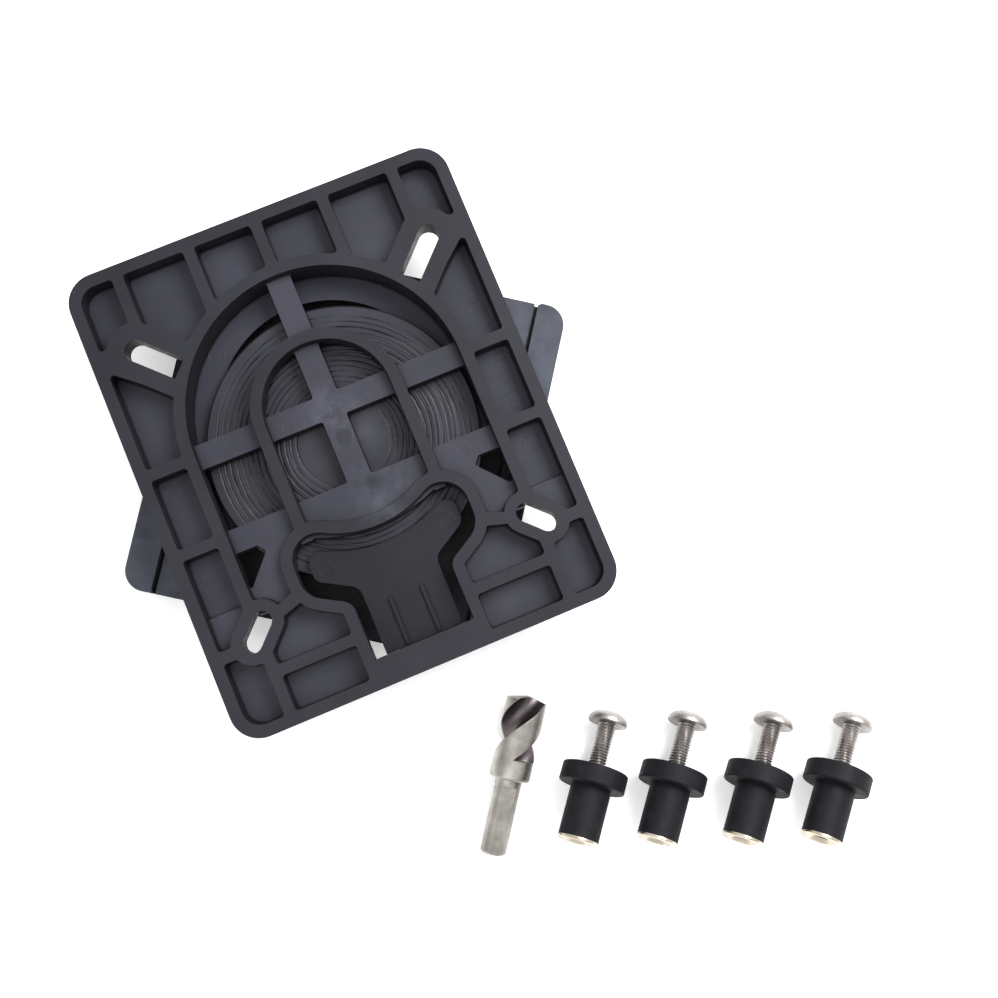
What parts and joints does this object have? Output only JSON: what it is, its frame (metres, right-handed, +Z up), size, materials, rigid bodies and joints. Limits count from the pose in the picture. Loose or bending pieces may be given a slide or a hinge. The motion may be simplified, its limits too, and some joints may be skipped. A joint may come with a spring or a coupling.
{
  "type": "boat seat swivel mount",
  "caption": "Quick-release swivel mount for a boat seat: ribbed seat plate on a grooved disc and base plate, with rubber well nuts, screws and drill bit.",
  "frame": {"origin": "on the swivel axis at the base plate's underside, the plane of its bolt holes", "axes": "+Z up along the swivel axis; +Y from the release tab towards the closed end of the arch; +X across the seat plate"},
  "size_m": [0.2813, 0.3513, 0.045],
  "materials": {
    "seat_plastic": "satin moulded nylon, faint sheen",
    "tab_plastic": "satin moulded nylon",
    "disc_plastic": "satin, fine turned rings",
    "base_plastic": "satin moulded nylon",
    "nylon": "smooth",
    "rubber": "matte moulded rubber",
    "brass": "machined",
    "screw_steel": "stainless, bright",
    "bolt_steel": "zinc plated",
    "drill_steel": "ground tool steel"
  },
  "bodies": {
    "base": {"base_plate": "base_plastic"},
    "disc": {"swivel_disc": "disc_plastic", "pivot_bolt": "bolt_steel", "pivot_washer": "nylon"},
    "seat": {"seat_plate": "seat_plastic"},
    "tab": {"release_tab": "tab_plastic"},
    "drill": {"drill_bit": "drill_steel"},
    "wellnut_1": {"wellnut_sleeve_1": "rubber", "wellnut_insert_1": "brass"},
    "screw_1": {"machine_screw_1": "screw_steel"},
    "wellnut_2": {"wellnut_sleeve_2": "rubber", "wellnut_insert_2": "brass"},
    "screw_2": {"machine_screw_2": "screw_steel"},
    "wellnut_3": {"wellnut_sleeve_3": "rubber", "wellnut_insert_3": "brass"},
    "screw_3": {"machine_screw_3": "screw_steel"},
    "wellnut_4": {"wellnut_sleeve_4": "rubber", "wellnut_insert_4": "brass"},
    "screw_4": {"machine_screw_4": "screw_steel"}
  },
  "joints": [
    {"name": "swivel", "type": "hinge", "parent": "base", "child": "disc", "pos_m": [0, 0, 0.0275], "axis": [0, 0, 1], "continuous": true},
    {"name": "seat_slide", "type": "slide", "parent": "disc", "child": "seat", "axis": [0, 1, 0], "range_m": [-0.015, 0.087]},
    {"name": "tab_flex", "type": "hinge", "parent": "seat", "child": "tab", "pos_m": [0, -0.093, 0.0346], "axis": [1, 0, 0], "range_deg": [0, 7], "stiffness_Nm_per_rad": 11, "springref_deg": -5.73},
    {"name": "drill_slide", "type": "slide", "parent": "base", "child": "drill", "axis": [-1, 0, 0], "range_m": [0, 0.03]},
    {"name": "wellnut_spin_1", "type": "hinge", "parent": "base", "child": "wellnut_1", "pos_m": [0.0471, -0.1747, 0.01423], "axis": [-0.6144, -0.748, 0.2508], "range_deg": [0, 5640]},
    {"name": "screw_drive_1", "type": "slide", "parent": "base", "child": "screw_1", "axis": [-0.6144, -0.748, 0.2508], "range_m": [0, 0.0195]},
    {"name": "wellnut_spin_2", "type": "hinge", "parent": "base", "child": "wellnut_2", "pos_m": [0.07953, -0.1884, 0.01423], "axis": [-0.6351, -0.7306, 0.2508], "range_deg": [0, 5640]},
    {"name": "screw_drive_2", "type": "slide", "parent": "base", "child": "screw_2", "axis": [-0.6351, -0.7306, 0.2508], "range_m": [0, 0.0195]},
    {"name": "wellnut_spin_3", "type": "hinge", "parent": "base", "child": "wellnut_3", "pos_m": [0.11462, -0.20322, 0.01423], "axis": [-0.6552, -0.7126, 0.2508], "range_deg": [0, 5640]},
    {"name": "screw_drive_3", "type": "slide", "parent": "base", "child": "screw_3", "axis": [-0.6552, -0.7126, 0.2508], "range_m": [0, 0.0195]},
    {"name": "wellnut_spin_4", "type": "hinge", "parent": "base", "child": "wellnut_4", "pos_m": [0.14714, -0.21696, 0.01423], "axis": [-0.6749, -0.694, 0.2508], "range_deg": [0, 5640]},
    {"name": "screw_drive_4", "type": "slide", "parent": "base", "child": "screw_4", "axis": [-0.6749, -0.694, 0.2508], "range_m": [0, 0.0195]}
  ],
  "couplings": [
    {"joint": "wellnut_spin_1", "follows": "screw_drive_1", "rad_per_m": 5026.5},
    {"joint": "wellnut_spin_2", "follows": "screw_drive_2", "rad_per_m": 5026.5},
    {"joint": "wellnut_spin_3", "follows": "screw_drive_3", "rad_per_m": 5026.5},
    {"joint": "wellnut_spin_4", "follows": "screw_drive_4", "rad_per_m": 5026.5}
  ]
}
